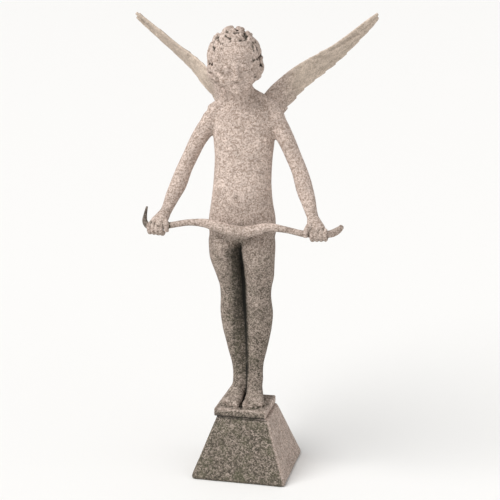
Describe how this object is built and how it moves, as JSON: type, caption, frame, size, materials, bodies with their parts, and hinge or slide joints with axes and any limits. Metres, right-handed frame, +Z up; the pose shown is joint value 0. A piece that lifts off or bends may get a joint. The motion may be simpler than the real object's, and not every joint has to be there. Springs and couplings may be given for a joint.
{
  "type": "garden statue",
  "caption": "Cast-stone garden statue of a winged boy holding a bow across his hips, standing on a thin square slab over a tapered square plinth.",
  "frame": {"origin": "middle of the plinth's underside", "axes": "+Z up, the statue faces -Y, +X is at the right of someone who looks at its face"},
  "size_m": [0.4818, 0.24, 0.8918],
  "materials": {
    "pink_buff_cast_stone": "matt, sandy, weathered",
    "mossy_cast_stone": "matt, sandy, with dirt and moss"
  },
  "bodies": {
    "root": {"angel_figure": "pink_buff_cast_stone", "plinth": "mossy_cast_stone"}
  },
  "joints": []
}
